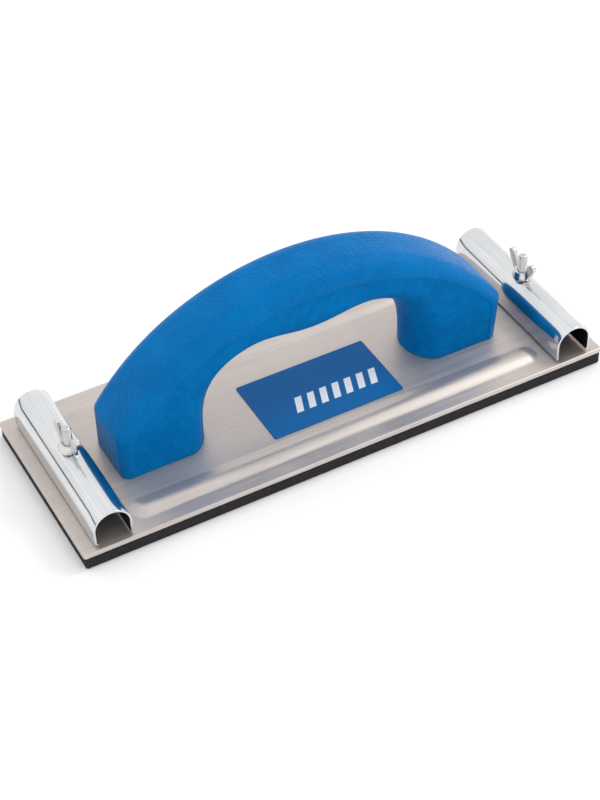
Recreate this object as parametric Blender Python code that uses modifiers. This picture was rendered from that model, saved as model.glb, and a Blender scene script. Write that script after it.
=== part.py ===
"""Hand sanding block: a pressed base plate on a foam pad, a moulded D handle, and at each end a
half-round clamp that a wing nut pulls down on the end of the abrasive sheet.

Units are metres, with +Z up. The origin is on the floor under the plate's centre, and +X runs
along the plate. The sole of the pad is at Z = 0.
"""

from math import asin, cos, pi, radians, sin, sqrt

import bmesh
import bpy
from mathutils import Matrix, Vector

MM = 0.001
REST_GAP = 0.25 * MM  # between two faces that touch
RUNNING_GAP = 0.35 * MM  # round a shank in its hole

# Base plate, a pressed aluminium sheet
PLATE_LENGTH = 230 * MM
PLATE_WIDTH = 84 * MM
PLATE_THICKNESS = 2.0 * MM
PLATE_CORNER_RADIUS = 1.2 * MM
PLATE_EDGE_ROUND = 0.8 * MM
BEAD_END_INSET = 24.5 * MM
BEAD_WIDTH = 10.5 * MM
BEAD_HEIGHT = 1.6 * MM
BEAD_SIDE_INSET = 6.8 * MM
BEAD_GROOVE_DEPTH = 1.2 * MM

# Foam pad under the plate
PAD_THICKNESS = 5.5 * MM
PAD_INSET = 0.4 * MM
PAD_EDGE_ROUND = 0.5 * MM

# D handle, measured from its own foot
HANDLE_END_GAP = 9.65 * MM  # from a clamp to the end wall facing it, with the handle centred
HANDLE_CENTRE_X = -1.6 * MM
HANDLE_WIDTH = 28.3 * MM
HANDLE_HEIGHT = 63.8 * MM
CROWN_CENTRE_X = -0.4 * MM
CROWN_DROP = 43.2 * MM  # from the crown's top to where its arc would meet the end walls
SHOULDER_ROUND = 2.4 * MM  # where the end walls turn into the crown
RIGHT_END_LEAN = 2.2 * MM  # how far the right end wall leans out, from foot to shoulder
FOOT_EDGE_ROUND = 4.5 * MM
CROWN_EDGE_ROUND = 8.4 * MM
POST_LENGTH = 29.4 * MM  # of each foot on the plate
ARCH_CENTRE_X = -0.6 * MM
ARCH_HEIGHT = 45.8 * MM
ARCH_SQUARENESS = 3.1  # exponent of the superellipse that the arch follows
GRIP_SWELL = 3.0 * MM  # how far the grip's lower edge dips in its middle
GRIP_SWELL_LENGTH = 60 * MM
BELLY_SWELL = 8.8 * MM  # how far the palm side bulges between the two flanks
HANDLE_STATIONS = 56
EDGE_SEGMENTS = 5
BELLY_SEGMENTS = 8

# Label on the plate, beneath the grip
LABEL_LENGTH = 58 * MM
LABEL_THICKNESS = 0.2 * MM
LABEL_X = 3.8 * MM
LABEL_FRONT_GAP = 2.3 * MM  # from the label to the front bead
LABEL_REAR_GAP = 13.1 * MM
LABEL_CORNER_RADIUS = 0.8 * MM

# Sheet clamps
CLAMP_WIDTH = 15.5 * MM
CLAMP_HEIGHT = 14.1 * MM
CLAMP_THICKNESS = 0.9 * MM
CLAMP_LIP = 0.9 * MM
CLAMP_CENTRE_Y = -1.8 * MM
CLAMP_SIDE_INSET = 3.8 * MM  # from the plate's long edges to the clamp's ends, were it centred
CLAMP_END_INSET = 5.5 * MM  # from the plate's short edge to the outer leg
CLAMP_LIFT = 0.8 * MM  # from the plate to the legs, with the nut backed off

# Studs, nuts and springs
STUD_DIAMETER = 4.0 * MM
STUD_REACH = 26.2 * MM  # above the plate
HEAD_RIM = 0.2 * MM
NUT_FLATS_RATIO = 1.75  # across the flats, to the stud's diameter
NUT_THICKNESS_RATIO = 0.8
SPRING_WIRE = 0.7 * MM
SPRING_PLAY = 1.6 * MM  # between the stud and the coil, across both sides
SPRING_TURNS = 5
SPRING_POINTS_PER_TURN = 20

# Wing nuts
HUB_FOOT_WALL = 2.0 * MM
HUB_TOP_WALL = 1.4 * MM
HUB_HEIGHT = 3.8 * MM
WING_SPAN = 17.4 * MM
WING_HEIGHT = 10.2 * MM
WING_THICKNESS = 2.0 * MM
WING_TIP_RADIUS = 1.7 * MM
LEFT_NUT_TURN = radians(96)
RIGHT_NUT_TURN = radians(90)

# Handle screws
SCREW_DIAMETER = 4.0 * MM
SCREW_LENGTH = 16 * MM
SCREW_SPACING = 13 * MM  # between the two screws of one post

ROUND_SEGMENTS = 32

# Levels and places that follow from the sizes above
PLATE_BOTTOM = PAD_THICKNESS + REST_GAP
PLATE_TOP = PLATE_BOTTOM + PLATE_THICKNESS
HEAD_DEPTH = 0.85 * PLATE_THICKNESS
BEAD_LENGTH = PLATE_LENGTH - 2 * BEAD_END_INSET
BEAD_Y = PLATE_WIDTH / 2 - BEAD_SIDE_INSET - BEAD_WIDTH / 2
LABEL_WIDTH = 2 * BEAD_Y - BEAD_WIDTH - LABEL_FRONT_GAP - LABEL_REAR_GAP
LABEL_Y = (LABEL_FRONT_GAP - LABEL_REAR_GAP) / 2
CLAMP_LENGTH = PLATE_WIDTH - 2 * CLAMP_SIDE_INSET
CLAMP_X = PLATE_LENGTH / 2 - CLAMP_END_INSET - CLAMP_WIDTH / 2
CLAMP_FOOT = PLATE_TOP + CLAMP_LIFT
CLAMP_CROWN = CLAMP_FOOT + CLAMP_HEIGHT
HANDLE_LENGTH = 2 * (CLAMP_X - CLAMP_WIDTH / 2 - HANDLE_END_GAP)
HANDLE_FOOT = PLATE_TOP + REST_GAP
CROWN_RADIUS = (HANDLE_LENGTH**2 / 4 + CROWN_DROP**2) / (2 * CROWN_DROP)
ARCH_SPAN = HANDLE_LENGTH - 2 * POST_LENGTH
NUT_FOOT = PLATE_TOP + REST_GAP
NUT_THICKNESS = STUD_DIAMETER * NUT_THICKNESS_RATIO
SPRING_FOOT = NUT_FOOT + NUT_THICKNESS + REST_GAP
SPRING_RADIUS = (STUD_DIAMETER + SPRING_PLAY + SPRING_WIRE) / 2
HUB_FOOT_RADIUS = STUD_DIAMETER / 2 + HUB_FOOT_WALL
HUB_TOP_RADIUS = STUD_DIAMETER / 2 + HUB_TOP_WALL
VAULT_RADIUS = CLAMP_WIDTH / 2 - CLAMP_THICKNESS
SPRING_TOP = (
    CLAMP_CROWN
    - CLAMP_WIDTH / 2
    + sqrt(VAULT_RADIUS**2 - (SPRING_RADIUS + SPRING_WIRE / 2) ** 2)
    - REST_GAP
)


def clear_scene():
    for thing in list(bpy.data.objects):
        bpy.data.objects.remove(thing, do_unlink=True)


def new_collection(name):
    made = bpy.data.collections.new(name)
    bpy.context.scene.collection.children.link(made)
    return made


clear_scene()
PARTS = new_collection("Sanding block")
CUTTERS = new_collection("Cutters")


def material(name, colour, roughness, metallic=0.0):
    made = bpy.data.materials.new(name)
    made.use_nodes = True
    shader = made.node_tree.nodes["Principled BSDF"]
    shader.inputs["Base Color"].default_value = (*colour, 1)
    shader.inputs["Roughness"].default_value = roughness
    shader.inputs["Metallic"].default_value = metallic
    made.diffuse_color = (*colour, 1)
    return made


ALUMINIUM = material("Brushed aluminium", (0.62, 0.58, 0.55), 0.35, 1.0)
ZINC = material("Bright zinc plate", (0.78, 0.80, 0.82), 0.15, 1.0)
STEEL = material("Spring steel", (0.45, 0.46, 0.48), 0.3, 1.0)
BLUE_PLASTIC = material("Blue polypropylene", (0.0, 0.14, 0.46), 0.4)
BLACK_FOAM = material("Black rubber foam", (0.012, 0.011, 0.014), 0.9)
BLUE_FILM = material("Blue label film", (0.0, 0.08, 0.32), 0.3)


def place(mesh, name, look, location=(0, 0, 0), turn=0.0):
    """Makes an object of a mesh, among the parts."""
    made = bpy.data.objects.new(name, mesh)
    made.location = location
    made.rotation_euler = (0, 0, turn)
    made.data.materials.clear()
    made.data.materials.append(look)
    PARTS.objects.link(made)
    return made


def mesh_of(name, build):
    """Makes a mesh with bmesh calls, leaving its faces pointing out."""
    shape = bmesh.new()
    build(shape)
    bmesh.ops.recalc_face_normals(shape, faces=shape.faces)
    made = bpy.data.meshes.new(name)
    shape.to_mesh(made)
    shape.free()
    return made


def smooth(thing, degrees=35):
    thing.data.shade_smooth()
    thing.data.set_sharp_from_angle(angle=radians(degrees))


def add_prism(shape, outline, bottom, top):
    """Adds a closed prism on an outline of (x, y) points."""
    face = shape.faces.new([shape.verts.new((x, y, bottom)) for x, y in outline])
    grown = bmesh.ops.extrude_face_region(shape, geom=[face])["geom"]
    raised = [item for item in grown if isinstance(item, bmesh.types.BMVert)]
    bmesh.ops.translate(shape, verts=raised, vec=(0, 0, top - bottom))


def rounded_rectangle(length, width, radius, segments=8):
    points = []
    corners = ((1, 1, 0), (-1, 1, 1), (-1, -1, 2), (1, -1, 3))
    for side_x, side_y, quarter in corners:
        for step in range(segments + 1):
            angle = (quarter + step / segments) * pi / 2
            x = side_x * (length / 2 - radius) + radius * cos(angle)
            y = side_y * (width / 2 - radius) + radius * sin(angle)
            points.append((x, y))
    return [p for i, p in enumerate(points) if (Vector(p) - Vector(points[i - 1])).length > 1e-7]


def cylinder(shape, radius, bottom, top, top_radius=None, segments=ROUND_SEGMENTS):
    """Adds a cylinder, or a cone where its top has another radius, on the Z axis."""
    bmesh.ops.create_cone(
        shape,
        cap_ends=True,
        segments=segments,
        radius1=radius,
        radius2=radius if top_radius is None else top_radius,
        depth=top - bottom,
        matrix=Matrix.Translation((0, 0, (bottom + top) / 2)),
    )


def cut(target, cutter, operation="DIFFERENCE"):
    """Cuts the target with a helper, or joins the helper to it."""
    PARTS.objects.unlink(cutter)
    CUTTERS.objects.link(cutter)
    cutter.hide_render = True
    cutter.display_type = "WIRE"
    step = target.modifiers.new(cutter.name, "BOOLEAN")
    step.operation = operation
    step.solver = "EXACT"
    step.object = cutter


def bevel(target, width, segments=2, degrees=40):
    step = target.modifiers.new("Bevel", "BEVEL")
    step.width = width
    step.segments = segments
    step.limit_method = "ANGLE"
    step.angle_limit = radians(degrees)


def turned(name, profile, look, location=(0, 0, 0), steps=ROUND_SEGMENTS):
    """Turns a profile of (radius, z) points, listed top to bottom on its outer side."""
    mesh = bpy.data.meshes.new(name)
    edges = [(i, i + 1) for i in range(len(profile) - 1)]
    mesh.from_pydata([(radius, 0, z) for radius, z in profile], edges, [])
    made = place(mesh, name, look, location)
    spin = made.modifiers.new("Turn", "SCREW")
    spin.axis = "Z"
    spin.angle = 2 * pi
    spin.steps = steps
    spin.render_steps = steps
    spin.use_merge_vertices = True
    spin.merge_threshold = 0.00001
    return made


def hole(target, name, radius, x, y, bottom, top, top_radius=None):
    """Cuts a round or conical hole that runs from one level to another."""
    mesh = mesh_of(name, lambda shape: cylinder(shape, radius, bottom, top, top_radius))
    cut(target, place(mesh, name, STEEL, (x, y, 0)))


def screw_places():
    """Where the handle's screws stand: two side by side in each post."""
    left = HANDLE_CENTRE_X - HANDLE_LENGTH / 2
    right = HANDLE_CENTRE_X + HANDLE_LENGTH / 2
    arch_left = ARCH_CENTRE_X - ARCH_SPAN / 2
    arch_right = ARCH_CENTRE_X + ARCH_SPAN / 2
    for side, x in (("left", (left + arch_left) / 2), ("right", (right + arch_right) / 2)):
        for edge, y in (("front", -SCREW_SPACING / 2), ("rear", SCREW_SPACING / 2)):
            yield f"{side}_{edge}", x, y


def countersink(target, name, shank, x, y):
    """Cuts a through hole with the 45 degree seat of a flush head in the plate's underside."""
    below = PLATE_BOTTOM - MM
    seat_top = PLATE_BOTTOM + HEAD_DEPTH
    radius = shank / 2 + RUNNING_GAP
    hole(target, name + "_shank", radius, x, y, below, PLATE_TOP + MM)
    hole(target, name + "_seat", radius + seat_top - below, x, y, below, seat_top, radius)


def make_base_plate():
    outline = rounded_rectangle(PLATE_LENGTH, PLATE_WIDTH, PLATE_CORNER_RADIUS)
    mesh = mesh_of("base_plate", lambda shape: add_prism(shape, outline, PLATE_BOTTOM, PLATE_TOP))
    plate = place(mesh, "base_plate", ALUMINIUM)
    bevel(plate, PLATE_EDGE_ROUND, 3, 60)
    for side in (-1, 1):
        add_bead(plate, side)
    for name, x, y in screw_places():
        countersink(plate, f"seat_{name}", SCREW_DIAMETER, x, y)
    for name, x in (("left", -CLAMP_X), ("right", CLAMP_X)):
        countersink(plate, f"seat_{name}_stud", STUD_DIAMETER, x, CLAMP_CENTRE_Y)
    smooth(plate)


def stadium(length, width):
    return rounded_rectangle(length, width, width / 2)


def add_bead(plate, side):
    """Raises one stiffening bead on the plate, with the groove that pressing leaves below it."""
    name = "front_bead" if side < 0 else "rear_bead"
    def crown(shape):
        levels = ((0.0, -0.5), (0.0, 0.0), (0.16, 0.5), (0.3, 0.86), (0.48, 1.0))
        rings = []
        for inset, rise in levels:
            ring = stadium(BEAD_LENGTH - inset * BEAD_WIDTH, BEAD_WIDTH * (1 - inset))
            z = PLATE_TOP + rise * BEAD_HEIGHT
            rings.append([shape.verts.new((x, y, z)) for x, y in ring])
        for lower, upper in zip(rings, rings[1:]):
            for i in range(len(lower)):
                shape.faces.new((lower[i - 1], lower[i], upper[i], upper[i - 1]))
        shape.faces.new(rings[0])
        shape.faces.new(rings[-1])

    cut(plate, place(mesh_of(name, crown), name, ALUMINIUM, (0, side * BEAD_Y, 0)), "UNION")
    groove = stadium(BEAD_LENGTH - BEAD_WIDTH / 2, BEAD_WIDTH / 2)
    bottom = PLATE_BOTTOM - 1 * MM
    roof = PLATE_BOTTOM + BEAD_GROOVE_DEPTH
    mesh = mesh_of(name + "_groove", lambda shape: add_prism(shape, groove, bottom, roof))
    cut(plate, place(mesh, name + "_groove", ALUMINIUM, (0, side * BEAD_Y, 0)))


def make_pad():
    length = PLATE_LENGTH - 2 * PAD_INSET
    width = PLATE_WIDTH - 2 * PAD_INSET
    outline = rounded_rectangle(length, width, PLATE_CORNER_RADIUS - PAD_INSET)
    mesh = mesh_of("sanding_pad", lambda shape: add_prism(shape, outline, 0, PAD_THICKNESS))
    pad = place(mesh, "sanding_pad", BLACK_FOAM)
    bevel(pad, PAD_EDGE_ROUND, 2, 60)
    smooth(pad)


def along(points, count):
    """Reads points at even spacing along a polyline of (x, z) points."""
    lengths = [0.0]
    for start, end in zip(points, points[1:]):
        lengths.append(lengths[-1] + (Vector(end) - Vector(start)).length)
    read = []
    step = 0
    for i in range(count):
        wanted = lengths[-1] * i / (count - 1)
        while step < len(points) - 2 and lengths[step + 1] < wanted:
            step += 1
        share = (wanted - lengths[step]) / (lengths[step + 1] - lengths[step])
        read.append(Vector(points[step]).lerp(Vector(points[step + 1]), share))
    return read


def half_crown(reach, lean):
    """Half of the handle's outer line as (x, z) points, from its top down to one foot.

    The foot is at the reach, and the end wall leans out from it to the shoulder.
    """
    centre_z = HANDLE_HEIGHT - CROWN_RADIUS
    inner = CROWN_RADIUS - SHOULDER_ROUND
    shoulder_x = reach + lean - SHOULDER_ROUND
    shoulder_z = centre_z + sqrt(inner**2 - shoulder_x**2)
    turn = asin(shoulder_x / inner)
    points = []
    for step in range(121):
        angle = turn * step / 120
        points.append((CROWN_RADIUS * sin(angle), centre_z + CROWN_RADIUS * cos(angle)))
    for step in range(1, 21):
        angle = turn + (pi / 2 - turn) * step / 20
        x = shoulder_x + SHOULDER_ROUND * sin(angle)
        points.append((x, shoulder_z + SHOULDER_ROUND * cos(angle)))
    return points + [(reach, 0)]


def crown_line():
    """The handle's outer line over its middle, from one foot to the other, as (x, z) points."""
    offset = HANDLE_CENTRE_X - CROWN_CENTRE_X
    left = half_crown(HANDLE_LENGTH / 2 - offset, 0)
    right = half_crown(HANDLE_LENGTH / 2 + offset, RIGHT_END_LEAN)
    line = [(-x, z) for x, z in reversed(left)] + right[1:]
    return [(CROWN_CENTRE_X + x, z) for x, z in line]


def arch_line():
    """The lower edge of the handle's flanks, a superellipse with a dip, as (x, z) points."""
    points = []
    power = 2 / ARCH_SQUARENESS
    for step in range(241):
        angle = pi - pi * step / 240
        x = abs(cos(angle)) ** power * (1 if cos(angle) > 0 else -1) * ARCH_SPAN / 2
        z = abs(sin(angle)) ** power * ARCH_HEIGHT
        if abs(x) < GRIP_SWELL_LENGTH / 2:
            z -= GRIP_SWELL * cos(pi * x / GRIP_SWELL_LENGTH) ** 2
        points.append((ARCH_CENTRE_X + x, z))
    points[0] = (points[0][0], 0)
    points[-1] = (points[-1][0], 0)
    return points


def handle_section(depth, edge_round):
    """One cross-section as (y, s) points, where s runs from the flanks' lower edge to the crown."""
    half = HANDLE_WIDTH / 2
    side = [(0, depth)]
    for step in range(EDGE_SEGMENTS + 1):
        angle = pi / 2 * step / EDGE_SEGMENTS
        y = half - edge_round + edge_round * sin(angle)
        side.append((y, depth - edge_round + edge_round * cos(angle)))
    side.append((half, depth / 2))
    belly_radius = (half**2 + BELLY_SWELL**2) / (2 * BELLY_SWELL)
    widest = asin(half / belly_radius)
    for step in range(BELLY_SEGMENTS):
        angle = widest * (1 - step / BELLY_SEGMENTS)
        side.append((belly_radius * sin(angle), belly_radius * (1 - cos(angle)) - BELLY_SWELL))
    lowest = (0, -BELLY_SWELL)
    return side + [lowest] + [(-y, s) for y, s in reversed(side[1:])]


def make_handle():
    """Lofts the handle through sections that stand between its crown line and its arch line."""
    crown = along(crown_line(), HANDLE_STATIONS)
    arch = along(arch_line(), HANDLE_STATIONS)

    def loft(shape):
        rings = []
        for i, (outer, inner) in enumerate(zip(crown, arch)):
            across = outer - inner
            depth = across.length
            across.normalize()
            height = sin(pi * i / (HANDLE_STATIONS - 1))
            edge_round = FOOT_EDGE_ROUND + (CROWN_EDGE_ROUND - FOOT_EDGE_ROUND) * height
            ring = []
            for y, s in handle_section(depth, edge_round):
                at = inner + across * s
                ring.append(shape.verts.new((at.x, y, at.y)))
            rings.append(ring)
        for lower, upper in zip(rings, rings[1:]):
            for i in range(len(lower)):
                shape.faces.new((lower[i - 1], lower[i], upper[i], upper[i - 1]))
        shape.faces.new(rings[0])
        shape.faces.new(rings[-1])

    handle = place(mesh_of("handle", loft), "handle", BLUE_PLASTIC, (0, 0, HANDLE_FOOT))
    depth = PLATE_BOTTOM + SCREW_LENGTH + 1 * MM
    radius = SCREW_DIAMETER / 2 + RUNNING_GAP
    for name, x, y in screw_places():
        mesh = mesh_of(
            f"pilot_{name}",
            lambda shape: cylinder(shape, radius, PLATE_BOTTOM - HANDLE_FOOT, depth - HANDLE_FOOT),
        )
        cut(handle, place(mesh, f"pilot_{name}", STEEL, (x, y, HANDLE_FOOT)))
    smooth(handle)


def flush_screw(name, shank, length, x, y, look):
    """A screw whose conical head lies flush with the plate's underside."""
    tip = shank * 0.15
    head_radius = shank / 2 + HEAD_DEPTH - HEAD_RIM
    profile = [
        (0, length),
        (shank / 2 - tip, length),
        (shank / 2, length - tip),
        (shank / 2, HEAD_DEPTH),
        (head_radius, HEAD_RIM),
        (head_radius, 0),
        (0, 0),
    ]
    smooth(turned(name, profile, look, (x, y, PLATE_BOTTOM)))


def make_handle_screws():
    for name, x, y in screw_places():
        flush_screw(f"handle_screw_{name}", SCREW_DIAMETER, SCREW_LENGTH, x, y, ZINC)


def make_label():
    outline = rounded_rectangle(LABEL_LENGTH, LABEL_WIDTH, LABEL_CORNER_RADIUS, 4)
    mesh = mesh_of("label", lambda shape: add_prism(shape, outline, 0, LABEL_THICKNESS))
    place(mesh, "label", BLUE_FILM, (LABEL_X, LABEL_Y, PLATE_TOP + REST_GAP))


def clamp_line():
    """The middle line of a clamp's sheet as (x, z) points, from the outer foot to the inner one.

    The outer leg is at -X and ends in a small lip that turns in under the clamp.
    """
    radius = (CLAMP_WIDTH - CLAMP_THICKNESS) / 2
    shoulder = CLAMP_HEIGHT - CLAMP_THICKNESS / 2 - radius
    lip_level = CLAMP_THICKNESS / 2
    points = [(-radius + CLAMP_LIP, lip_level), (-radius, lip_level)]
    for step in range(25):
        angle = pi - pi * step / 24
        points.append((radius * cos(angle), shoulder + radius * sin(angle)))
    points.append((radius, 0))
    return points


def make_clamp(side, x, outward):
    name = f"{side}_clamp"
    line = clamp_line()

    def sheet(shape):
        ends = []
        for y in (-CLAMP_LENGTH / 2, CLAMP_LENGTH / 2):
            ends.append([shape.verts.new((-outward * px, y, pz)) for px, pz in line])
        for i in range(len(line) - 1):
            shape.faces.new((ends[0][i], ends[0][i + 1], ends[1][i + 1], ends[1][i]))

    clamp = place(mesh_of(name, sheet), name, ZINC, (x, CLAMP_CENTRE_Y, CLAMP_FOOT))
    shell = clamp.modifiers.new("Sheet", "SOLIDIFY")
    shell.thickness = CLAMP_THICKNESS
    shell.offset = 0
    shell.use_even_offset = True
    radius = STUD_DIAMETER / 2 + RUNNING_GAP
    mesh = mesh_of(
        name + "_hole",
        lambda shape: cylinder(shape, radius, CLAMP_HEIGHT / 2, CLAMP_HEIGHT + 2 * MM),
    )
    cut(clamp, place(mesh, name + "_hole", ZINC, (x, CLAMP_CENTRE_Y, CLAMP_FOOT)))
    smooth(clamp)


def make_stud(side, x):
    length = PLATE_THICKNESS + STUD_REACH
    flush_screw(f"{side}_stud", STUD_DIAMETER, length, x, CLAMP_CENTRE_Y, ZINC)


def make_stud_nut(side, x):
    radius = STUD_DIAMETER * NUT_FLATS_RATIO / 2 / cos(pi / 6)
    name = f"{side}_stud_nut"
    mesh = mesh_of(name, lambda shape: cylinder(shape, radius, 0, NUT_THICKNESS, segments=6))
    nut = place(mesh, name, ZINC, (x, CLAMP_CENTRE_Y, NUT_FOOT))
    bore = STUD_DIAMETER / 2 + RUNNING_GAP
    mesh = mesh_of(name + "_bore", lambda shape: cylinder(shape, bore, -MM, NUT_THICKNESS + MM))
    cut(nut, place(mesh, name + "_bore", ZINC, (x, CLAMP_CENTRE_Y, NUT_FOOT)))


def make_spring(side, x):
    """A coil of round wire from the stud nut to the clamp's crown."""
    name = f"{side}_spring"
    curve = bpy.data.curves.new(name, "CURVE")
    curve.dimensions = "3D"
    curve.bevel_depth = SPRING_WIRE / 2
    curve.bevel_resolution = 2
    curve.use_fill_caps = True
    count = SPRING_TURNS * SPRING_POINTS_PER_TURN
    coil = curve.splines.new("POLY")
    coil.points.add(count)
    low = SPRING_FOOT + SPRING_WIRE / 2
    high = SPRING_TOP - SPRING_WIRE / 2
    for i, point in enumerate(coil.points):
        angle = 2 * pi * i / SPRING_POINTS_PER_TURN
        z = low + (high - low) * i / count
        point.co = (SPRING_RADIUS * cos(angle), SPRING_RADIUS * sin(angle), z, 1)
    place(curve, name, STEEL, (x, CLAMP_CENTRE_Y, 0))


def wing_outline(direction):
    """One wing of a wing nut as (x, z) points, rising outwards from the hub."""
    tip_x = WING_SPAN / 2 - WING_TIP_RADIUS
    tip_z = WING_HEIGHT - WING_TIP_RADIUS
    inner = HUB_TOP_RADIUS
    points = [(inner - 1.2 * MM, 0.4 * MM), (HUB_FOOT_RADIUS, 0.4 * MM)]
    for step in range(13):
        angle = radians(-50 + 200 * step / 12)
        points.append((tip_x + WING_TIP_RADIUS * cos(angle), tip_z + WING_TIP_RADIUS * sin(angle)))
    points.append((inner - 0.2 * MM, HUB_HEIGHT * 0.98))
    points.append((inner - 1.2 * MM, HUB_HEIGHT * 0.9))
    return [(direction * px, pz) for px, pz in points]


def make_wing_nut(side, x, turn):
    name = f"{side}_wing_nut"
    seat = (x, CLAMP_CENTRE_Y, CLAMP_CROWN + REST_GAP)
    mesh = mesh_of(
        name,
        lambda shape: cylinder(shape, HUB_FOOT_RADIUS, 0, HUB_HEIGHT, HUB_TOP_RADIUS),
    )
    nut = place(mesh, name, ZINC, seat, turn)
    for direction in (-1, 1):
        outline = wing_outline(direction)
        label = f"{name}_wing_{direction}"
        mesh = mesh_of(
            label,
            lambda shape: add_prism(shape, outline, -WING_THICKNESS / 2, WING_THICKNESS / 2),
        )
        mesh.transform(Matrix.Rotation(pi / 2, 4, "X"))
        wing = place(mesh, label, ZINC, seat, turn)
        bevel(wing, WING_THICKNESS * 0.3, 2, 40)
        cut(nut, wing, "UNION")
    bore = STUD_DIAMETER / 2 + RUNNING_GAP
    mesh = mesh_of(name + "_bore", lambda shape: cylinder(shape, bore, -MM, HUB_HEIGHT + MM))
    cut(nut, place(mesh, name + "_bore", ZINC, seat))
    smooth(nut)


make_base_plate()
make_pad()
make_handle()
make_handle_screws()
make_label()
for side_name, side_x, outward_sign, nut_turn in (
    ("left", -CLAMP_X, -1, LEFT_NUT_TURN),
    ("right", CLAMP_X, 1, RIGHT_NUT_TURN),
):
    make_clamp(side_name, side_x, outward_sign)
    make_stud(side_name, side_x)
    make_stud_nut(side_name, side_x)
    make_spring(side_name, side_x)
    make_wing_nut(side_name, side_x, nut_turn)
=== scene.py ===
from math import asin, cos, pi, radians, sin, sqrt, tau

import bmesh
import bpy
import numpy as np
from mathutils import Matrix, Vector


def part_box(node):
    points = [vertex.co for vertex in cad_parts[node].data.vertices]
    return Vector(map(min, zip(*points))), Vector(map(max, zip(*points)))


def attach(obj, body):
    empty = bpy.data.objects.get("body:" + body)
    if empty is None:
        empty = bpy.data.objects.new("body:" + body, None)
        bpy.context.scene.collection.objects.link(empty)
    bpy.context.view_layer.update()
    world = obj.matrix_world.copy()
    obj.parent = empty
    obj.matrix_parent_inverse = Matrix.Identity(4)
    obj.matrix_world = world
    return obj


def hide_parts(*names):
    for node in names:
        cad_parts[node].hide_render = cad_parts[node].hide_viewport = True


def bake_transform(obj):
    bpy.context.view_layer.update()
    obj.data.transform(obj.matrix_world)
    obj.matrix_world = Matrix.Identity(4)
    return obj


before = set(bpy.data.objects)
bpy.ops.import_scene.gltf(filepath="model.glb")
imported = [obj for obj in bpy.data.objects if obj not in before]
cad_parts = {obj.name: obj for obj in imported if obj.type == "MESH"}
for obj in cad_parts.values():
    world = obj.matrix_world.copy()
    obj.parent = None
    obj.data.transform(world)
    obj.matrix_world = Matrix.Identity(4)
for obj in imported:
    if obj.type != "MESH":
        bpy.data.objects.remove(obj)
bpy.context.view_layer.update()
MM = 0.001

# Sizes that no CAD node's box gives, at or near the CAD's own values
PLATE_THICKNESS, PLATE_CORNER, PLATE_EDGE = 2.0 * MM, 1.2 * MM, 0.8 * MM
BEAD_HALF_LENGTH, BEAD_HALF_WIDTH, BEAD_Y, BEAD_HEIGHT = 90.5 * MM, 5.6 * MM, 29.95 * MM, 1.55 * MM
SHEET_THICKNESS, CLAMP_LIP, CLAMP_HOLE_RADIUS = 0.9 * MM, 0.9 * MM, 2.35 * MM
STUD_RADIUS, THREAD_PITCH, THREAD_DEPTH = 2.0 * MM, 0.7 * MM, 0.40 * MM
WIRE_RADIUS, SPRING_TURNS = 0.35 * MM, 5.5
NUT_BORE_RADIUS, WING_HALF_THICKNESS = 2.2 * MM, 0.95 * MM
NUT_TURNS = {"left": radians(96), "right": radians(90)}

# Places and sizes that the CAD nodes give
PLATE_LOW, PLATE_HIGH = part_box("base_plate")
PAD_LOW, PAD_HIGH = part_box("sanding_pad")
HANDLE_LOW, HANDLE_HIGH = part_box("handle")
LABEL_LOW, LABEL_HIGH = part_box("label")
PLATE_BOTTOM = PLATE_LOW.z
PLATE_TOP = PLATE_BOTTOM + PLATE_THICKNESS


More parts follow.
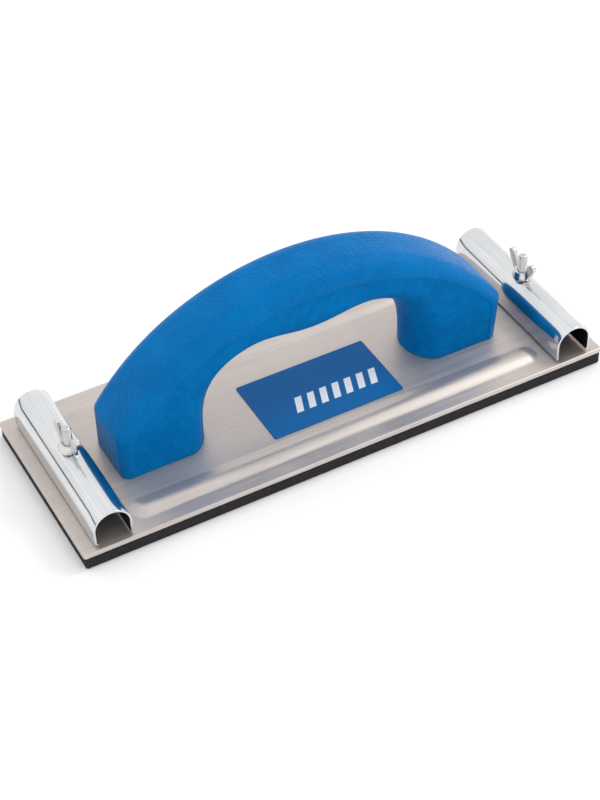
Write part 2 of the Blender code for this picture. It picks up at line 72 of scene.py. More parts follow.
# ---------------------------------------------------------------- node helpers
class Look:
    """A procedural material: a Principled shader with helpers to wire textures into it."""

    def __init__(self, name, colour, roughness, metallic=0.0, **sockets):
        self.material = bpy.data.materials.new(name)
        self.material.use_nodes = True
        self.tree = self.material.node_tree
        self.shader = self.tree.nodes["Principled BSDF"]
        self.set("Base Color", (*colour, 1))
        self.set("Roughness", roughness)
        self.set("Metallic", metallic)
        for socket, value in sockets.items():
            self.set(socket.replace("_", " "), value)
        self.coords = self.add("ShaderNodeTexCoord").outputs["Object"]

    def set(self, socket, value):
        self.shader.inputs[socket].default_value = value

    def add(self, kind, **settings):
        made = self.tree.nodes.new(kind)
        for key, value in settings.items():
            setattr(made, key, value)
        return made

    def link(self, source, target):
        self.tree.links.new(source, target)
        return self

    def stretched(self, scale):
        mapping = self.add("ShaderNodeMapping")
        mapping.inputs["Scale"].default_value = scale
        self.link(self.coords, mapping.inputs["Vector"])
        return mapping.outputs["Vector"]

    def noise(self, scale, detail=4.0, stretch=(1, 1, 1), roughness=0.55):
        texture = self.add("ShaderNodeTexNoise")
        texture.inputs["Scale"].default_value = scale
        texture.inputs["Detail"].default_value = detail
        texture.inputs["Roughness"].default_value = roughness
        self.link(self.stretched(stretch), texture.inputs["Vector"])
        return texture.outputs["Fac"]

    def cells(self, scale, feature="F1", smoothness=None):
        texture = self.add("ShaderNodeTexVoronoi", feature=feature)
        texture.inputs["Scale"].default_value = scale
        if smoothness is not None:
            texture.inputs["Smoothness"].default_value = smoothness
        self.link(self.coords, texture.inputs["Vector"])
        return texture.outputs["Distance"]

    def ranged(self, source, low, high, out_low, out_high):
        step = self.add("ShaderNodeMapRange")
        ends = {"From Min": low, "From Max": high, "To Min": out_low, "To Max": out_high}
        for socket, value in ends.items():
            step.inputs[socket].default_value = value
        self.link(source, step.inputs["Value"])
        return step.outputs["Result"]

    def maths(self, operation, first, second):
        step = self.add("ShaderNodeMath", operation=operation)
        for socket, value in zip(step.inputs, (first, second)):
            if isinstance(value, (int, float)):
                socket.default_value = value
            else:
                self.link(value, socket)
        return step.outputs["Value"]

    def blend(self, factor, first, second):
        step = self.add("ShaderNodeMix", data_type="RGBA")
        self.link(factor, step.inputs["Factor"])
        step.inputs[6].default_value = (*first, 1)
        step.inputs[7].default_value = (*second, 1)
        return step.outputs[2]

    def colour(self, source):
        return self.link(source, self.shader.inputs["Base Color"])

    def roughness(self, source, low, high, out_low, out_high):
        ranged = self.ranged(source, low, high, out_low, out_high)
        return self.link(ranged, self.shader.inputs["Roughness"])

    def bump(self, *layers):
        """Stacks bumps given as (source, distance in metres, strength)."""
        before = None
        for source, distance, strength in layers:
            step = self.add("ShaderNodeBump")
            step.inputs["Distance"].default_value = distance
            step.inputs["Strength"].default_value = strength
            self.link(source, step.inputs["Height"])
            if before is not None:
                self.link(before, step.inputs["Normal"])
            before = step.outputs["Normal"]
        return self.link(before, self.shader.inputs["Normal"])


def blue_plastic(name, grained):
    """The handle's plastic, with a leather grain or a satin finish."""
    look = Look(name, (0.0, 0.145, 0.41), 0.42, Specular_IOR_Level=0.05 if grained else 0.02)
    drift = look.noise(60, 3)
    speckle = look.noise(1500, 3) if grained else look.noise(300, 3)
    mixed = look.maths("ADD", look.maths("MULTIPLY", drift, 0.5), look.maths("MULTIPLY", speckle, 0.5))
    share = look.ranged(mixed, 0.38, 0.62, 0, 1)
    look.colour(look.blend(share, (0.0, 0.122, 0.365), (0.0, 0.162, 0.45)))
    fine = look.noise(2600, 2)
    if grained:
        pores = look.cells(950, "SMOOTH_F1", 0.4)
        wide = look.cells(420, "SMOOTH_F1", 0.6)
        look.roughness(pores, 0.1, 0.7, 0.45, 0.28)
        look.bump((wide, 0.0003, 0.7), (pores, 0.00022, 1.0), (fine, 0.00005, 0.6))
    else:
        look.roughness(look.noise(340, 3), 0.3, 0.7, 0.36, 0.46)
        look.bump((look.noise(900, 3), 0.00002, 0.35), (fine, 0.00001, 0.3))
    return look.material


def sheet_metal(name, colour, roughness, streak, spread, strength, metallic=1.0):
    """Rolled or drawn metal, with fine streaks along one way.

    streak is the noise's scale along each axis, and spread how far the roughness strays.
    """
    look = Look(name, colour, roughness, metallic)
    lines = look.noise(1.0, 5, streak, 0.6)
    clouds = look.noise(38, 4)
    darker = tuple(part * 0.86 for part in colour)
    lighter = tuple(part * 1.04 for part in colour)
    mixed = look.maths("ADD", look.maths("MULTIPLY", lines, 0.6), look.maths("MULTIPLY", clouds, 0.4))
    look.colour(look.blend(look.ranged(mixed, 0.38, 0.62, 0, 1), darker, lighter))
    look.roughness(mixed, 0.35, 0.65, roughness - spread, roughness + spread)
    look.bump((lines, 0.00002, strength), (look.noise(1400, 2), 0.000006, strength * 0.5))
    return look.material


def cast_metal(name, colour, roughness):
    """Plated metal with a slightly uneven skin."""
    look = Look(name, colour, roughness, 1.0)
    look.roughness(look.noise(500, 3), 0.3, 0.7, roughness * 0.75, roughness * 1.35)
    look.bump((look.noise(700, 4), 0.00006, 0.25))
    return look.material


def foam(name):
    """Black rubber foam with open pores."""
    look = Look(name, (0.013, 0.012, 0.015), 0.85, Specular_IOR_Level=0.25)
    pores = look.cells(1500)
    share = look.ranged(pores, 0.1, 0.6, 0, 1)
    look.colour(look.blend(share, (0.007, 0.006, 0.008), (0.024, 0.022, 0.027)))
    look.roughness(look.noise(600, 3), 0.3, 0.7, 0.75, 0.95)
    look.bump((pores, 0.00035, 0.7), (look.noise(3200, 2), 0.0001, 0.5))
    return look.material


def film(name, first, second, roughness):
    """Printed film whose colour drifts between two."""
    look = Look(name, first, roughness, Specular_IOR_Level=0.15)
    look.colour(look.blend(look.ranged(look.noise(55, 3), 0.3, 0.7, 0, 1), first, second))
    look.roughness(look.noise(260, 3), 0.3, 0.7, roughness - 0.05, roughness + 0.07)
    look.bump((look.noise(420, 3), 0.00002, 0.3))
    return look.material


CROWN_BLUE = blue_plastic("Blue plastic, grained", True)
FLANK_BLUE = blue_plastic("Blue plastic, smooth", False)
ALONG_X, ALONG_Y = (25, 1500, 40), (1400, 30, 1400)  # which way a sheet's streaks run
ALUMINIUM = sheet_metal(
    "Mill-finish aluminium", (0.60, 0.54, 0.505), 0.4, ALONG_X, 0.09, 0.35, metallic=0.7
)
ALUMINIUM_EDGE = sheet_metal(
    "Cut aluminium edge", (0.66, 0.62, 0.60), 0.34, (60, 60, 1800), 0.05, 0.5
)
ZINC = sheet_metal("Bright zinc plate", (0.72, 0.735, 0.75), 0.13, ALONG_Y, 0.035, 0.25)
# Near-black zinc for the clamps' inner side: its dark colour is painted shade, standing in for the
# shadow inside the clamp.
ZINC_PAINTED_SHADE = sheet_metal(
    "Zinc plate, inner side in painted shade", (0.05, 0.055, 0.06), 0.34, ALONG_Y, 0.06, 0.4
)
CAST_ZINC = cast_metal("Cast zinc", (0.68, 0.68, 0.67), 0.17)
THREAD_STEEL = cast_metal("Zinc-plated thread", (0.60, 0.60, 0.60), 0.26)
SPRING_STEEL = sheet_metal("Spring steel", (0.40, 0.41, 0.43), 0.28, (900, 900, 60), 0.05, 0.3)
FOAM = foam("Rubber foam")
LABEL_BLUE = film("Label film, blue", (0.0, 0.105, 0.33), (0.0, 0.12, 0.36), 0.38)
LABEL_WHITE = film("Label print, white", (0.72, 0.76, 0.80), (0.80, 0.83, 0.86), 0.35)


# ---------------------------------------------------------------- mesh helpers
def piece(name, vertices, faces, looks, body, sharp=40, picks=None):
    """Makes a smooth-shaded piece that rides on a body. picks gives each face's material."""
    mesh = bpy.data.meshes.new(name)
    mesh.from_pydata([tuple(map(float, v)) for v in vertices], [], faces)
    made = bpy.data.objects.new(name, mesh)
    bpy.context.scene.collection.objects.link(made)
    for look in looks:
        mesh.materials.append(look)
    if picks is not None:
        mesh.polygons.foreach_set("material_index", picks)
    shape = bmesh.new()
    shape.from_mesh(mesh)
    bmesh.ops.remove_doubles(shape, verts=shape.verts, dist=1e-7)
    bmesh.ops.recalc_face_normals(shape, faces=shape.faces)
    shape.to_mesh(mesh)
    shape.free()
    finished(made, body, sharp)
    return made


def finished(made, body, sharp=40):
    """Shades a piece smooth between its sharp edges, and puts it on its body."""
    made.data.shade_smooth()
    made.data.set_sharp_from_angle(angle=radians(sharp))
    if body:
        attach(made, body)


def lofted(rings, closed_ends=True):
    """Vertices and faces of a skin over rings that all have the same number of points."""
    count = len(rings[0])
    vertices = [point for ring in rings for point in ring]
    faces = []
    for row in range(len(rings) - 1):
        for i in range(count):
            j = (i + 1) % count
            low, high = row * count, (row + 1) * count
            faces.append((low + i, low + j, high + j, high + i))
    if closed_ends:
        faces.append(tuple(range(count))[::-1])
        faces.append(tuple((len(rings) - 1) * count + i for i in range(count)))
    return vertices, faces


def circle(radius, z, count=48, x=0.0, y=0.0):
    """A level ring of points."""
    angles = [tau * i / count for i in range(count)]
    return [(x + radius * cos(angle), y + radius * sin(angle), z) for angle in angles]


def rounded_outline(length, width, radius, per_corner=10):
    """A rectangle with round corners as (x, y) points."""
    points = []
    for side_x, side_y, quarter in ((1, 1, 0), (-1, 1, 1), (-1, -1, 2), (1, -1, 3)):
        for step in range(per_corner + 1):
            angle = (quarter + step / per_corner) * pi / 2
            x = side_x * (length / 2 - radius) + radius * cos(angle)
            y = side_y * (width / 2 - radius) + radius * sin(angle)
            points.append((x, y))
    return points


def applied(made):
    """Turns an object's modifiers into its mesh."""
    bpy.context.view_layer.update()
    graph = bpy.context.evaluated_depsgraph_get()
    mesh = bpy.data.meshes.new_from_object(made.evaluated_get(graph))
    made.modifiers.clear()
    made.data = mesh
    return made


# ---------------------------------------------------------------- base plate
def bead_rise(x, y):
    """How far the plate's two pressed beads stand up at a point."""
    fullness = 0.72
    rise = 0.0
    past_end = max(abs(x) - (BEAD_HALF_LENGTH - BEAD_HALF_WIDTH), 0.0)
    for side in (-1, 1):
        distance = sqrt(past_end**2 + (y - side * BEAD_Y) ** 2) / BEAD_HALF_WIDTH
        if distance < 1:
            rise = max(rise, (0.5 + 0.5 * cos(pi * distance)) ** fullness)
    return rise * BEAD_HEIGHT


def spaced(stops):
    """Grid lines between stops of (place, spacing towards the next stop)."""
    lines = []
    for (start, spacing), (end, _) in zip(stops, stops[1:]):
        count = max(1, round((end - start) / spacing))
        lines += [start + (end - start) * i / count for i in range(count)]
    return lines + [stops[-1][0]]


def make_plate():
    """The plate as a height field with a rounded rim, over a flat underside."""
    corner, edge = PLATE_CORNER, PLATE_EDGE
    half_x, half_y = (PLATE_HIGH.x - PLATE_LOW.x) / 2, (PLATE_HIGH.y - PLATE_LOW.y) / 2

    def rim_stops(half):
        return [(half - corner, 0.2 * MM), (half - edge, 0.13 * MM), (half, 1)]

    xs = spaced([(0, 6 * MM), (82 * MM, 0.6 * MM), (92 * MM, 4 * MM)] + rim_stops(half_x))
    ys = spaced([(0, 5 * MM), (23.5 * MM, 0.45 * MM), (36.4 * MM, 1 * MM)] + rim_stops(half_y))
    xs = [-x for x in reversed(xs[1:])] + xs
    ys = [-y for y in reversed(ys[1:])] + ys

    def drawn_in(x, y):
        """Pulls a grid point onto the rounded corner, and gives its depth inside the outline."""
        cx = max(abs(x) - (half_x - corner), 0.0)
        cy = max(abs(y) - (half_y - corner), 0.0)
        reach = sqrt(cx**2 + cy**2)
        square = max(cx, cy)
        if cx > 0 and cy > 0:
            scale = square / reach
            x = (abs(x) - cx + cx * scale) * (1 if x > 0 else -1)
            y = (abs(y) - cy + cy * scale) * (1 if y > 0 else -1)
        return x, y, corner - square

    vertices, faces, picks = [], [], []
    columns = len(ys)
    for level in (0, 1):
        for x in xs:
            for y in ys:
                px, py, depth = drawn_in(x, y)
                drop = edge - sqrt(max(edge**2 - (edge - min(depth, edge)) ** 2, 0.0))
                if level == 0:
                    z = PLATE_TOP + bead_rise(px, py) - drop
                else:
                    z = PLATE_BOTTOM + drop * 0.4
                vertices.append((px, py, z))
    size = len(xs) * columns
    for i in range(len(xs) - 1):
        for j in range(columns - 1):
            a = i * columns + j
            quad = (a, a + columns, a + columns + 1, a + 1)
            faces.append(quad)
            faces.append(tuple(size + k for k in reversed(quad)))
            picks += [0, 0]
    rim = [i * columns for i in range(len(xs))]
    rim += [(len(xs) - 1) * columns + j for j in range(1, columns)]
    rim += [i * columns + columns - 1 for i in range(len(xs) - 2, -1, -1)]
    rim += [j for j in range(columns - 2, 0, -1)]
    for a, b in zip(rim, rim[1:] + rim[:1]):
        faces.append((a, b, size + b, size + a))
        picks.append(1)
    looks = [ALUMINIUM, ALUMINIUM_EDGE]
    plate = piece("plate_sheet", vertices, faces, looks, "block", 50, picks)
    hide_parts("base_plate")


# ---------------------------------------------------------------- foam pad
def make_pad():
    """The foam pad, whose sides bulge a little above and below a faint waist."""
    length, width = PAD_HIGH.x - PAD_LOW.x, PAD_HIGH.y - PAD_LOW.y
    levels = [(0, 0.9), (0.12, 0.45), (0.45, 0.1), (1.2, 0.0), (2.7, 0.08), (4.3, 0.0)]
    levels += [(5.05, 0.1), (5.38, 0.4), (5.5, 0.8)]
    top = levels[-1][0]
    rings = []
    for z, inset in levels:
        drawn = 2 * inset * MM
        radius = max(1.1 - inset, 0.3) * MM
        outline = rounded_outline(length - drawn, width - drawn, radius)
        rings.append([(x, y, z / top * PAD_HIGH.z) for x, y in outline])
    vertices, faces = lofted(rings)
    pad = piece("foam_pad", vertices, faces, [FOAM], "block", 60)
    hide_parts("sanding_pad")


# ---------------------------------------------------------------- handle
HALF_WIDTH = 14.15 * MM
HALF_LENGTH, CENTRE_X = 84.35 * MM, -1.6 * MM
CROWN_HEIGHT, CROWN_DROP, CROWN_X = 63.8 * MM, 43.2 * MM, -0.4 * MM
CROWN_RADIUS = (HALF_LENGTH**2 + CROWN_DROP**2) / (2 * CROWN_DROP)
SHOULDER, RIGHT_LEAN = 2.4 * MM, 2.2 * MM
ARCH_X, ARCH_HALF, ARCH_HEIGHT, ARCH_POWER = -0.6 * MM, 54.95 * MM, 45.8 * MM, 3.1
ARCH_SAG, ARCH_SAG_REACH = 3.0 * MM, 30 * MM
BELLY, GRAIN_STEP, CROWN_CAMBER = 8.8 * MM, 0.22 * MM, 0.35 * MM
FOOT_ROUND, CROWN_ROUND = 4.5 * MM, 8.4 * MM


def half_crown(reach, lean):
    """Half of the handle's outer line as (x, z) points, from its top down to one foot."""
    centre = CROWN_HEIGHT - CROWN_RADIUS
    inner = CROWN_RADIUS - SHOULDER
    shoulder_x = reach + lean - SHOULDER
    shoulder_z = centre + sqrt(inner**2 - shoulder_x**2)
    turn = asin(shoulder_x / inner)
    points = []
    for i in range(161):
        angle = turn * i / 160
        points.append((CROWN_RADIUS * sin(angle), centre + CROWN_RADIUS * cos(angle)))
    for i in range(1, 25):
        angle = turn + (pi / 2 - turn) * i / 24
        points.append((shoulder_x + SHOULDER * sin(angle), shoulder_z + SHOULDER * cos(angle)))
    return points + [(reach, 0)]


def crown_line():
    """The handle's whole outer line, from its left foot to its right one."""
    left = half_crown(CROWN_X - CENTRE_X + HALF_LENGTH, 0)
    right = half_crown(CENTRE_X + HALF_LENGTH - CROWN_X, RIGHT_LEAN)
    line = [(-x, z) for x, z in reversed(left)] + right[1:]
    return [(CROWN_X + x, z) for x, z in line]


def arch_line():
    """The flanks' lower edge: a superellipse that sags in its middle."""
    points = []
    for i in range(481):
        angle = pi - pi * i / 480
        side = 1 if cos(angle) > 0 else -1
        x = side * abs(cos(angle)) ** (2 / ARCH_POWER) * ARCH_HALF
        z = abs(sin(angle)) ** (2 / ARCH_POWER) * ARCH_HEIGHT
        if abs(x) < ARCH_SAG_REACH:
            z -= ARCH_SAG * cos(pi / 2 * x / ARCH_SAG_REACH) ** 2
        points.append((ARCH_X + x, z))
    points[0] = (points[0][0], 0)
    points[-1] = (points[-1][0], 0)
    return points


def along(points, count):
    """Evenly spaced points along a polyline."""
    path = np.array(points)
    run = np.concatenate([[0], np.cumsum(np.linalg.norm(np.diff(path, axis=0), axis=1))])
    wanted = np.linspace(0, run[-1], count)
    return np.stack([np.interp(wanted, run, path[:, 0]), np.interp(wanted, run, path[:, 1])], axis=1)


def handle_section(depth, edge_round):
    """Half of a cross-section as (y, s, grained) from the middle of the crown to the belly's keel."""
    flank = HALF_WIDTH - GRAIN_STEP
    flat = HALF_WIDTH - edge_round
    side = []
    for i in range(4):
        y = flat * i / 4
        side.append((y, depth - CROWN_CAMBER * (y / HALF_WIDTH) ** 2, True))
    for i in range(13):
        angle = pi / 2 * i / 12
        s = depth - edge_round + edge_round * cos(angle) - CROWN_CAMBER * (flat / HALF_WIDTH) ** 2
        side.append((flat + edge_round * sin(angle), s, True))
    low = side[-1][1]
    side.append((HALF_WIDTH - 0.03 * MM, low - GRAIN_STEP, False))
    side.append((flank, low - 0.3 * MM, False))
    for share in (0.25, 0.5, 0.75):
        side.append((flank, low * (1 - share), False))
    radius = (flank**2 + BELLY**2) / (2 * BELLY)
    widest = asin(flank / radius)
    corner = 0.5 * MM
    side.append((flank, corner, False))
    side.append((flank - 0.12 * MM, 0.12 * MM, False))
    for i in range(1, 15):
        angle = widest * (1 - i / 14)
        side.append((radius * sin(angle), radius * (1 - cos(angle)) - BELLY, False))
    return side


def make_handle():
    """Lofts the handle through sections that stand between its crown and its arch."""
    stations = 150
    crown, arch = along(crown_line(), stations), along(arch_line(), stations)
    rings = []
    for i in range(stations):
        inner, outer = arch[i], crown[i]
        depth = float(np.linalg.norm(outer - inner))
        across = (outer - inner) / depth
        edge_round = FOOT_ROUND + (CROWN_ROUND - FOOT_ROUND) * sin(pi * i / (stations - 1))
        half = handle_section(depth, edge_round)
        full = half + [(-y, s, g) for y, s, g in reversed(half[1:-1])]
        ring = []
        for y, s, _ in full:
            at = inner + across * s
            ring.append((at[0], y, min(HANDLE_LOW.z + max(at[1], 0.0), HANDLE_HIGH.z)))
        rings.append(ring)
        grains = [g for _, _, g in full]
    vertices, faces = lofted(rings)
    count = len(rings[0])
    picks = []
    for _ in range(stations - 1):
        picks += [0 if grains[i] and grains[(i + 1) % count] else 1 for i in range(count)]
    picks += [1, 1]
    looks = [CROWN_BLUE, FLANK_BLUE]
    handle = piece("handle_moulding", vertices, faces, looks, "block", 32, picks)
    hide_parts("handle")


# ---------------------------------------------------------------- label
def make_label():
    """The label's film, with a row of slanted bars as its print."""
    centre = ((LABEL_LOW.x + LABEL_HIGH.x) / 2, (LABEL_LOW.y + LABEL_HIGH.y) / 2)
    length, width = LABEL_HIGH.x - LABEL_LOW.x, LABEL_HIGH.y - LABEL_LOW.y
    foot, rim, top = PLATE_TOP + 0.02 * MM, LABEL_HIGH.z - 0.05 * MM, LABEL_HIGH.z
    corner = 0.8 * MM
    rings = []
    for z, inset in ((foot, 0), (rim, 0), (top, 0.06 * MM)):
        outline = rounded_outline(length - 2 * inset, width - 2 * inset, corner - inset, 6)
        rings.append([(centre[0] + x, centre[1] + y, z) for x, y in outline])
    vertices, faces = lofted(rings)
    label = piece("label_film", vertices, faces, [LABEL_BLUE], "block", 30)
    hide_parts("label")
    bar_width, bar_pitch, bar_height, bar_rise = 3.0 * MM, 5.6 * MM, 8.4 * MM, 0.03 * MM
    vertices, faces = [], []
    for i in range(7):
        x = centre[0] - 14.5 * MM + i * bar_pitch
        y = centre[1] - 8.5 * MM
        foot_line = [(x, y), (x + bar_width, y)]
        head_line = [(x + 2 * bar_width, y + bar_height), (x + bar_width, y + bar_height)]
        start = len(vertices)
        for z in (top, top + bar_rise):
            vertices += [(px, py, z) for px, py in foot_line + head_line]
        faces.append(tuple(start + k for k in (3, 2, 1, 0)))
        faces.append(tuple(start + k for k in (4, 5, 6, 7)))
        for k in range(4):
            after = (k + 1) % 4
            faces.append((start + k, start + after, start + 4 + after, start + 4 + k))
    piece("label_bars", vertices, faces, [LABEL_WHITE], "block", 30)


# ---------------------------------------------------------------- clamps
def clamp_paths(radius, height):
    """Outer and inner (x, z) points of the clamp's sheet in pairs, from the lip to the plain leg."""
    sheet = SHEET_THICKNESS
    vault = radius - sheet
    shoulder = height - radius
    lip_end = -radius + sheet / 2 + CLAMP_LIP
    pairs = [
        ((lip_end, 0.0), (lip_end, sheet)),
        ((-radius + sheet * 1.2, 0.0), (-radius + sheet * 1.35, sheet)),
        ((-radius + sheet * 0.4, sheet * 0.12), (-radius + sheet * 1.1, sheet * 1.1)),
        ((-radius, sheet * 0.55), (-radius + sheet, sheet * 1.5)),
    ]
    for i in range(73):
        angle = pi - pi * i / 72
        c, s = cos(angle), sin(angle)
        pairs.append(((radius * c, shoulder + radius * s), (vault * c, shoulder + vault * s)))
    pairs.append(((radius, sheet * 0.25), (radius - sheet, sheet * 0.25)))
    pairs.append(((radius - sheet * 0.3, 0.0), (radius - sheet * 0.7, 0.0)))
    return pairs


def between(start, end, share):
    return (start[0] + (end[0] - start[0]) * share, start[1] + (end[1] - start[1]) * share)


def make_clamp(side, outward):
    """A half-round sheet clamp with softened cut ends and a hole for its stud."""
    low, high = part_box(f"{side}_clamp")
    centre = (low.x + high.x) / 2
    height = high.z - low.z
    pairs = clamp_paths((high.x - low.x) / 2, height)
    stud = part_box(f"{side}_stud")
    stud_y = (stud[0].y + stud[1].y) / 2
    rounding, collar = 0.14 * MM, 5 * MM
    stops = [low.y, low.y + rounding * 0.4, low.y + rounding * 1.2]
    stops += [low.y + (stud_y - collar - low.y) * i / 6 for i in range(1, 7)]
    stops += [stud_y - collar + i * MM for i in range(1, 11)]
    stops += [stud_y + collar + (high.y - stud_y - collar) * i / 6 for i in range(1, 6)]
    stops += [high.y - rounding * 1.2, high.y - rounding * 0.4, high.y]
    rings = []
    for k, y in enumerate(stops):
        from_end = min(k, len(stops) - 1 - k)
        thin = rounding * {0: 1.0, 1: 0.35}.get(from_end, 0.0) / SHEET_THICKNESS
        outer = [between(out, within, thin) for out, within in pairs]
        inner = [between(within, out, thin) for out, within in pairs]
        ring = outer + inner[::-1]
        rings.append([(centre - outward * x, y, low.z + z) for x, z in ring])
    vertices, faces = lofted(rings, closed_ends=False)
    count, half = len(rings[0]), len(pairs)
    # The inner side's faces take the second look, the near-black zinc whose colour is painted shade.
    picks = []
    for _ in range(len(stops) - 1):
        picks += [1 if half <= i < 2 * half - 1 else 0 for i in range(count)]
    for row in (0, len(stops) - 1):
        base = row * count
        for i in range(half - 1):
            faces.append((base + i, base + i + 1, base + count - 2 - i, base + count - 1 - i))
            picks.append(0)
    name, looks = f"{side}_clamp_sheet", [ZINC, ZINC_PAINTED_SHADE]
    clamp = piece(name, vertices, faces, looks, f"{side}_clamp", 35, picks)
    hole = circle(CLAMP_HOLE_RADIUS, low.z + height / 2, 32, centre, stud_y)
    tops = [(x, y, high.z + 2 * MM) for x, y, _ in hole]
    vertices, faces = lofted([hole, tops])
    drill = piece(f"{side}_drill", vertices, faces, [ZINC], None)
    cut = clamp.modifiers.new("Hole", "BOOLEAN")
    cut.operation, cut.solver, cut.object = "DIFFERENCE", "EXACT", drill
    applied(clamp)
    bpy.data.objects.remove(drill)
    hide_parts(f"{side}_clamp")


# ---------------------------------------------------------------- studs and springs
def make_stud(side):
    """A stud with a helical thread and a tapered tip."""
    low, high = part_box(f"{side}_stud")
    x, y = (low.x + high.x) / 2, (low.y + high.y) / 2
    count = 32
    start, end = PLATE_TOP - 0.5 * MM, high.z
    thread_end = end - 0.35 * MM
    rows = int((end - start) / THREAD_PITCH * 7)
    rings = [circle(1.2 * MM, start, count, x, y)]
    for k in range(rows + 1):
        z = start + (thread_end - start) * k / rows
        taper = 0.3 * MM * max(0.0, 1 - (thread_end - z) / (0.8 * MM))
        ring = []
        for i in range(count):
            phase = (z / THREAD_PITCH - i / count) % 1.0
            depth = THREAD_DEPTH * (1 - abs(2 * phase - 1)) ** 0.9
            radius = STUD_RADIUS - depth * 0.9 - taper * (1 - depth / THREAD_DEPTH)
            ring.append((x + radius * cos(tau * i / count), y + radius * sin(tau * i / count), z))
        rings.append(ring)
    rings.append(circle(1.25 * MM, end - 0.02 * MM, count, x, y))
    rings.append(circle(1.0 * MM, end, count, x, y))
    vertices, faces = lofted(rings)
    stud = piece(f"{side}_threaded_stud", vertices, faces, [THREAD_STEEL], "block", 60)
    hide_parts(f"{side}_stud")


def make_spring(side):
    """A coil with closed end turns, standing between the block and its clamp."""
    low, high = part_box(f"{side}_spring")
    x, y = (low.x + high.x) / 2, (low.y + high.y) / 2
    wire, per_turn, count = WIRE_RADIUS, 36, 10
    radius = (high.x - low.x) / 2 - wire
    bottom, top = low.z + wire, high.z - wire
    rings = []
    total = int(SPRING_TURNS * per_turn)
    for k in range(total + 1):
        angle = tau * k / per_turn
        climbed = (k / total * SPRING_TURNS - 0.55) / (SPRING_TURNS - 1.1)
        share = max(0.0, min(1.0, climbed))
        z = bottom + (top - bottom) * share
        out = Vector((cos(angle), sin(angle), 0))
        centre = Vector((x, y, z)) + out * radius
        ring = []
        for i in range(count):
            bend = tau * i / count
            ring.append(tuple(centre + out * wire * cos(bend) + Vector((0, 0, wire * sin(bend)))))
        rings.append(ring)
    vertices, faces = lofted(rings)
    spring = piece(f"{side}_coil", vertices, faces, [SPRING_STEEL], None, 60)
    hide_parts(f"{side}_spring")
    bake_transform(spring)


# ---------------------------------------------------------------- wing nuts
def wing_outline(direction):
    """One wing as (x, z) points round the hub's axis, waisted above the hub and rounded at its tip."""
    tip = (7.0 * MM, 8.5 * MM)
    radius = 1.68 * MM
    points = [(1.9 * MM, 0.5 * MM), (3.9 * MM, 0.45 * MM), (4.9 * MM, 1.9 * MM)]
    for i in range(21):
        angle = radians(-42 + 190 * i / 20)
        points.append((tip[0] + radius * cos(angle), tip[1] + radius * sin(angle)))
    points += [(3.6 * MM, 4.9 * MM), (2.9 * MM, 3.6 * MM), (1.9 * MM, 3.3 * MM)]
    return [(direction * px, pz) for px, pz in points]


def make_wing_nut(side, turn):
    """A wing nut whose hub and blades flow into each other, with its bore cut last."""
    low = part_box(f"{side}_wing_nut")[0]
    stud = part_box(f"{side}_stud")
    x, y = (stud[0].x + stud[1].x) / 2, (stud[0].y + stud[1].y) / 2
    shape = bmesh.new()

    def add(rings):
        vertices, faces = lofted(rings)
        made = [shape.verts.new(v) for v in vertices]
        for face in faces:
            shape.faces.new([made[i] for i in face])

    hub = ((3.6, 0), (4.0, 0.3), (3.95, 1.2), (3.5, 3.1), (3.3, 3.7), (3.0, 3.8))
    add([circle(r * MM, z * MM, 40) for r, z in hub])
    for direction in (-1, 1):
        outline = wing_outline(direction)
        flats = (-WING_HALF_THICKNESS, WING_HALF_THICKNESS)
        add([[(px, py, pz) for px, pz in outline] for py in flats])
    mesh = bpy.data.meshes.new(f"{side}_cast_nut")
    shape.to_mesh(mesh)
    shape.free()
    nut = bpy.data.objects.new(f"{side}_cast_nut", mesh)
    bpy.context.scene.collection.objects.link(nut)
    blend = nut.modifiers.new("Cast", "REMESH")
    blend.mode, blend.voxel_size = "VOXEL", 0.13 * MM
    soften = nut.modifiers.new("Soften", "SMOOTH")
    soften.factor, soften.iterations = 0.5, 2
    applied(nut)
    vertices, faces = lofted([circle(NUT_BORE_RADIUS, z * MM, 40) for z in (-1, 6)])
    drill = piece(f"{side}_nut_drill", vertices, faces, [CAST_ZINC], None)
    cut = nut.modifiers.new("Bore", "BOOLEAN")
    cut.operation, cut.solver, cut.object = "DIFFERENCE", "EXACT", drill
    applied(nut)
    bpy.data.objects.remove(drill)
    nut.data.materials.clear()
    nut.data.materials.append(CAST_ZINC)
    nut.data.transform(Matrix.Translation((x, y, low.z)) @ Matrix.Rotation(turn, 4, "Z"))
    finished(nut, f"{side}_wing_nut", 45)
    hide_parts(f"{side}_wing_nut")


def recoloured(node, look):
    """Gives a CAD node that keeps its own mesh a new material."""
    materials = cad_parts[node].data.materials
    materials.clear()
    materials.append(look)


make_plate()
make_pad()
make_handle()
make_label()
for side, outward in (("left", -1), ("right", 1)):
    make_clamp(side, outward)
    make_stud(side)
    make_spring(side)
    make_wing_nut(side, NUT_TURNS[side])
    recoloured(f"{side}_stud_nut", CAST_ZINC)
    for end in ("front", "rear"):
        recoloured(f"handle_screw_{side}_{end}", THREAD_STEEL)


# ---------------------------------------------------------------- floor, light and camera
def make_floor():
    mesh = bpy.data.meshes.new("floor")
    reach = 3.0
    corners = [(-reach, -reach, 0), (reach, -reach, 0), (reach, reach, 0), (-reach, reach, 0)]
    mesh.from_pydata(corners, [], [(0, 1, 2, 3)])
    floor = bpy.data.objects.new("floor", mesh)
    bpy.context.scene.collection.objects.link(floor)
    look = Look("Pale floor", (0.93, 0.93, 0.93), 0.8, Specular_IOR_Level=0.1)
    mesh.materials.append(look.material)


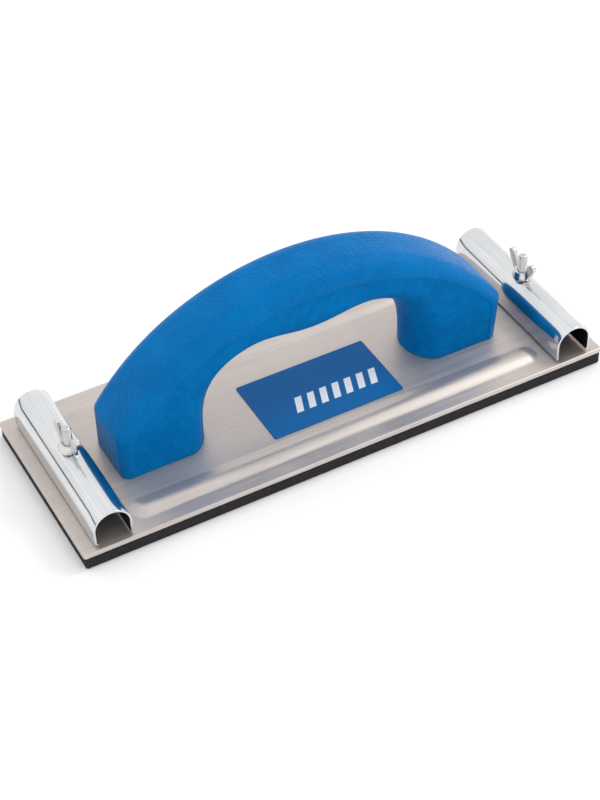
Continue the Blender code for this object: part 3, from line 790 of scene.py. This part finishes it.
def make_world():
    """A bright studio with a dark band just above its left horizon, for the metal to mirror.

    The camera itself sees plain light grey.
    """
    world = bpy.data.worlds.new("Studio")
    bpy.context.scene.world = world
    world.use_nodes = True
    tree = world.node_tree
    background = tree.nodes["Background"]
    coords = tree.nodes.new("ShaderNodeTexCoord")
    split = tree.nodes.new("ShaderNodeSeparateXYZ")
    tree.links.new(coords.outputs["Generated"], split.inputs[0])
    ramp = tree.nodes.new("ShaderNodeValToRGB")
    tree.links.new(split.outputs["Z"], ramp.inputs["Fac"])
    stops = ((0.0, 0.95), (0.02, 0.06), (0.11, 0.08), (0.14, 1.02), (0.45, 1.06), (1.0, 1.2))
    while len(ramp.color_ramp.elements) < len(stops):
        ramp.color_ramp.elements.new(0.5)
    for element, (place, value) in zip(ramp.color_ramp.elements, stops):
        element.position = place
        element.color = (value, value, value, 1)
    side = tree.nodes.new("ShaderNodeMapRange")
    side.inputs["From Min"].default_value, side.inputs["From Max"].default_value = -0.15, -0.5
    tree.links.new(split.outputs["X"], side.inputs["Value"])
    banded = tree.nodes.new("ShaderNodeMix")
    banded.data_type = "RGBA"
    banded.inputs[6].default_value = (1.05, 1.05, 1.05, 1)
    tree.links.new(side.outputs["Result"], banded.inputs["Factor"])
    tree.links.new(ramp.outputs["Color"], banded.inputs[7])
    tree.links.new(banded.outputs[2], background.inputs["Color"])
    plain = tree.nodes.new("ShaderNodeBackground")
    plain.inputs["Color"].default_value = (0.93, 0.93, 0.93, 1)
    path = tree.nodes.new("ShaderNodeLightPath")
    pick = tree.nodes.new("ShaderNodeMixShader")
    tree.links.new(path.outputs["Is Camera Ray"], pick.inputs["Fac"])
    tree.links.new(background.outputs[0], pick.inputs[1])
    tree.links.new(plain.outputs[0], pick.inputs[2])
    tree.links.new(pick.outputs[0], tree.nodes["World Output"].inputs["Surface"])


def area_light(name, place, target, size, watts):
    data = bpy.data.lights.new(name, "AREA")
    data.shape, data.size, data.energy = "SQUARE", size, watts
    light = bpy.data.objects.new(name, data)
    light.location = place
    light.rotation_euler = (Vector(target) - Vector(place)).to_track_quat("-Z", "Y").to_euler()
    bpy.context.scene.collection.objects.link(light)


def make_camera():
    """The camera fitted to the photo, which looks down from the front left with a slight roll."""
    azimuth, elevation, roll = radians(-27.112), radians(42.348), radians(-2.254)
    back = Vector((sin(azimuth) * cos(elevation), -cos(azimuth) * cos(elevation), sin(elevation)))
    right = Vector((0, 0, 1)).cross(back).normalized()
    up = back.cross(right)
    tilted_right = right * cos(roll) + up * sin(roll)
    tilted_up = up * cos(roll) - right * sin(roll)
    data = bpy.data.cameras.new("camera")
    data.sensor_fit, data.sensor_width, data.lens = "HORIZONTAL", 36, 36 * 1896.48 / 600
    data.clip_start = 0.01
    camera = bpy.data.objects.new("camera", data)
    place = back * 0.75965 - right * 0.00207 - up * 0.00616 + Vector((0, 0, PLATE_TOP))
    axes = Matrix((tilted_right, tilted_up, back)).transposed()
    camera.matrix_world = Matrix.Translation(place) @ axes.to_4x4()
    bpy.context.scene.collection.objects.link(camera)
    bpy.context.scene.camera = camera


make_floor()
make_world()
area_light("key", (0.75, -0.1, 0.8), (0, 0, 0.03), 0.35, 3.2)
make_camera()
bpy.context.scene.view_settings.view_transform = "Standard"
